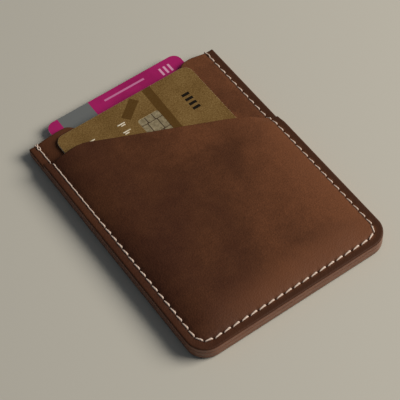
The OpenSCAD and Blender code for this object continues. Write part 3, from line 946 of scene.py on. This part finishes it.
magentaCard = {
    "base": "#B0206A",
    "deep": "#931354",
    "core": "#C7B8BC",
    "driftSize": 14.0,
    "dotSize": 0.35,         # dots of the printing screen, drawn twice too coarse to show
    # printed boxes: x, y, width, height, turn, ink, cover
    "marks": [(-16.4, 48.0, 12.3, 20.0, 0.0, "#717474", 1.0), (2.9, 52.85, 16.2, 0.8, 0.0, "#CE7FAA", 1.0)]
    + [(x, 51.6, 0.8, 3.4, 0.0, "#E3A6C4", 1.0) for x in (17.6, 19.4, 21.2)],
}


def magentaPrint(name, marks):
    # laminated PVC with a clear gloss film over vivid ink: strong colour with clean highlights
    material, tree, shader, place = newMaterial(name, Roughness=0.4, Specular_IOR_Level=0.25,
                                                Coat_Weight=0.15, Coat_Roughness=0.15)
    at = {"Vector": (place, "Object")}
    drift = addNode(tree, "TexNoise", {"Scale": perMetre(magentaCard["driftSize"]), "Detail": 3.0}, at)
    dots = addNode(tree, "TexVoronoi", {"Scale": perMetre(magentaCard["dotSize"])}, at)
    both = addNode(tree, "Math", {"operation": "MULTIPLY_ADD", 1: 0.12},
                   {0: (dots, "Distance"), 2: (drift, 0)})
    ramp = addNode(tree, "ValToRGB", {"stops": [(0.35, magentaCard["deep"]), (0.6, magentaCard["base"])]},
                   {"Fac": (both, 0)})
    tint = printedFace(tree, place, (ramp, 0), marks, magentaCard["core"])
    finish(tree, shader, (tint, 2), (drift, 0), 0.04, 0.05)
    return material


def cloudedFinish(name, dark, light, grainSize, roughness, **sockets):
    material, tree, shader, place = newMaterial(name, **sockets)
    at = {"Vector": (place, "Object")}
    grain = addNode(tree, "TexNoise", {"Scale": perMetre(grainSize), "Detail": 4.0, "Roughness": 0.65}, at)
    ramp = addNode(tree, "ValToRGB", {"stops": [(0.3, dark), (0.7, light)]}, {"Fac": (grain, 0)})
    finish(tree, shader, (ramp, 0), (grain, 0), 0.1, 0.05, (grain, 0), roughness)
    return material


signatureStrip = {
    "paper": "#E9E6DD",
    "line": "#BFC4C8",
    "lineScale": 1.1,        # gives lines 0.5 apart, about the real step
    "fibreSize": 0.3,
}


def signaturePaper():
    # matt writing strip: off-white with a fine printed guilloche of thin grey lines
    material, tree, shader, place = newMaterial("signaturePaperStrip", Roughness=0.85)
    at = {"Vector": (place, "Object")}
    lines = addNode(tree, "TexWave", {"bands_direction": "DIAGONAL", "Distortion": 1.4, "Detail": 0.0,
                                      "Detail Scale": 0.4,
                                      "Scale": perMetre(signatureStrip["lineScale"])}, at)
    ramp = addNode(tree, "ValToRGB", {"stops": [(0.72, signatureStrip["paper"]),
                                                (0.86, signatureStrip["line"])]}, {"Fac": (lines, 1)})
    fibre = addNode(tree, "TexNoise", {"Scale": perMetre(signatureStrip["fibreSize"]), "Detail": 3.0}, at)
    finish(tree, shader, (ramp, 0), (fibre, 0), 0.15, 0.05)
    return material


# white PVC sheet, seen only at the cut edge: off-white, satin
whiteCore = cloudedFinish("whitePvcCore", "#D9D5C8", "#E8E5DB", 2.0, (0.5, 0.6))
# etched copper: bare metal, warm, dulled in patches
copper = cloudedFinish("etchedCopperTrack", "#8F4F2D", "#C37B4E", 0.8, (0.3, 0.5), Metallic=1.0)
# nickel and gold plate: pale champagne, brushed soft by use
plating = cloudedFinish("goldPlatedContacts", "#8E7F60", "#C1B18D", 1.2, (0.35, 0.5), Metallic=0.4)
# potting resin: near black, with a low gloss
resin = cloudedFinish("blackEpoxyResin", "#0C0C0D", "#1B1A1A", 0.5, (0.3, 0.45))
# glass-filled epoxy, seen in the gaps between the contacts: dark, matt brown
laminate = cloudedFinish("epoxyGlassLaminate", "#3A2C1C", "#52402A", 0.4, (0.5, 0.6))
# iron oxide lacquer: brown-black, satin, faint streaks
stripe = cloudedFinish("ironOxideStripe", "#120E0C", "#211A16", 1.5, (0.3, 0.42))
# hot-pressed foil on the raised bars: champagne, rubbed pale in use
tipping = cloudedFinish("wornFoilTipping", "#C9B98F", "#FFFAEC", 0.8, (0.3, 0.5))
signature = signaturePaper()


def cardFront(body, material):
    low, high = nodeBox(body + "_chip_contacts")
    cx, cy = (low[0] + high[0]) / 2, (low[1] + high[1]) / 2
    w, h = high[0] - low[0], high[1] - low[1]
    top = high[2]
    sheetLow, sheetHigh = nodeBox(body + "_inlay")
    size = sheetHigh - sheetLow
    middle = (sheetLow + sheetHigh) / 2
    loops = [roundedLoop(middle[0], middle[1], size[0], size[1], card["cornerR"], 12),
             roundedLoop(cx, cy, w + card["contactGap"], h + card["contactGap"], card["contactR"])]
    sheet = plate(body + "_front_print", loops, sheetHigh[2], top, card["bevel"], material)
    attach(sheet, body)
    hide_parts(body + "_front_sheet")

    padBottom = top - card["padDepth"]
    base = plate(body + "_chip_base", [roundedLoop(cx, cy, w, h, card["contactR"])],
                 low[2], padBottom, 0.01, laminate)
    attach(base, body)

    gap = card["padGap"]
    rowH = (h - 2 * gap) * 0.27
    middleH = h - 2 * gap - 2 * rowH
    columnW = (w - 2 * gap) / 3
    sideW = columnW * 0.8
    pads = []
    for side in (-1, 1):
        rowY = cy + side * (middleH + rowH + 2 * gap) / 2
        pads += [roundedLoop(cx + k * (columnW + gap), rowY, columnW, rowH, 0.45) for k in (-1, 0, 1)]
        pads.append(roundedLoop(cx + side * (w - sideW) / 2, cy, sideW, middleH, 0.35))
    pads.append(roundedLoop(cx, cy, w - 2 * sideW - 2 * gap, middleH, 0.35))
    contacts = plate(body + "_chip_pads", pads, padBottom, top + 0.005, 0.015, plating)
    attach(contacts, body)
    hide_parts(body + "_chip_contacts")


goldFace = goldPrint("metallicGoldPvc", goldCard["marks"])
magentaFace = magentaPrint("glossMagentaPvc", magentaCard["marks"])
cardFront("gold_card", goldFace)
cardFront("magenta_card", magentaFace)


def embossing():
    # raised bars in two rows, standing where an embossed card has its characters
    low, high = nodeBox("gold_card_inlay")
    top = nodeBox("gold_card_chip_contacts")[1][2]
    length, thin, away = card["barLength"], card["barThin"], card["barAway"]
    loops = []
    for inset, count in card["barRows"]:
        x = low[0] + inset
        for k in range(count):
            y = high[1] - card["barStart"] - k * card["barStep"]
            shifted = x + card["barShift"] * (-1) ** k
            loops.append(roundedLoop(x, y + away, length, thin, 0.2, 4))
            loops.append(roundedLoop(shifted, y - away, 0.6 * length, thin, 0.2, 4))
    piece = plate("gold_card_embossing", loops, top - 0.1, top + card["barHeight"], 0.09, tipping)
    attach(piece, "gold_card")


embossing()

goldBack = goldPrint("metallicGoldPvcBack", [])
magentaBack = magentaPrint("glossMagentaPvcBack", [])
innerParts = {  # these keep the shape they have in the frame
    "inlay": (whiteCore, "card_core"),
    "antenna": (copper, "antenna_copper"),
    "chip_module": (resin, "chip_resin"),
    "magnetic_stripe": (stripe, "magnetic_stripe"),
    "signature_strip": (signature, "signature_strip"),
}
backs = {"gold_card": (goldBack, "gold_print"), "magenta_card": (magentaBack, "magenta_print")}
for body, back in backs.items():
    for part, (material, slotName) in {"back_sheet": back, **innerParts}.items():
        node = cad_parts[body + "_" + part]
        for holder in node.material_slots:
            holder.material = material
print("cards made")


stage = {
    "floor": "#CAC7BC",
    "floorSize": 6000,
    "floorGap": 0.2,         # under the sleeve, so that the two faces don't flicker
    "sky": "#C9D2DC",
    "skyStrength": 0.17,
    "window": "#FFF8EE",
    "windowPlace": (860, -526, 797),
    "windowSize": 733,
    "windowWatts": 18.0,
}


def makeFloor():
    half = stage["floorSize"] * mm / 2
    corners = [(-half, -half, 0), (half, -half, 0), (half, half, 0), (-half, half, 0)]
    mesh = bpy.data.meshes.new("floor")
    mesh.from_pydata(corners, [], [(0, 1, 2, 3)])
    floor = newObject("floor", mesh)
    floor.location.z = -stage["floorGap"] * mm
    # painted board: pale, matt, with no pattern to draw the eye
    material, _, shader, _ = newMaterial("palePaintedBoard", Roughness=0.75)
    shader.inputs["Base Color"].default_value = colour(stage["floor"])
    mesh.materials.append(material)
    return floor


def makeWindowLight():
    lamp = bpy.data.lights.new("windowLight", "AREA")
    lamp.size = stage["windowSize"] * mm
    lamp.energy = stage["windowWatts"]
    lamp.color = colour(stage["window"])[:3]
    light = newObject("windowLight", lamp)
    light.location = Vector(stage["windowPlace"]) * mm
    light.rotation_euler = (-light.location).to_track_quat("-Z", "Y").to_euler()


floor = makeFloor()
makeWindowLight()

world = bpy.data.worlds.new("softRoom")
world.use_nodes = True
background = next(n for n in world.node_tree.nodes if n.type == "BACKGROUND")
background.inputs[0].default_value = colour(stage["sky"])
background.inputs[1].default_value = stage["skyStrength"]
bpy.context.scene.world = world
bpy.context.scene.view_settings.view_transform = "Standard"

view = {
    "place": (-145.24, -227.79, 389.18),
    "azimuth": 32.06,        # degrees from +Y towards +X
    "down": 55.21,
    "roll": -3.791,
    "lens": 130.62,
}


def makeCamera():
    azimuth, down, roll = (math.radians(view[k]) for k in ("azimuth", "down", "roll"))
    level = Vector((math.sin(azimuth), math.cos(azimuth), 0))
    ahead = level * math.cos(down) - Vector((0, 0, math.sin(down)))
    side = Vector((math.cos(azimuth), -math.sin(azimuth), 0))
    up = side.cross(ahead)
    right = side * math.cos(roll) + up * math.sin(roll)
    above = up * math.cos(roll) - side * math.sin(roll)
    data = bpy.data.cameras.new("camera")
    data.lens = view["lens"]
    data.sensor_width = 36
    camera = newObject("camera", data)
    camera.matrix_world = Matrix.Translation(Vector(view["place"]) * mm) @ \
        Matrix((right, above, -ahead)).transposed().to_4x4()
    bpy.context.scene.camera = camera


makeCamera()
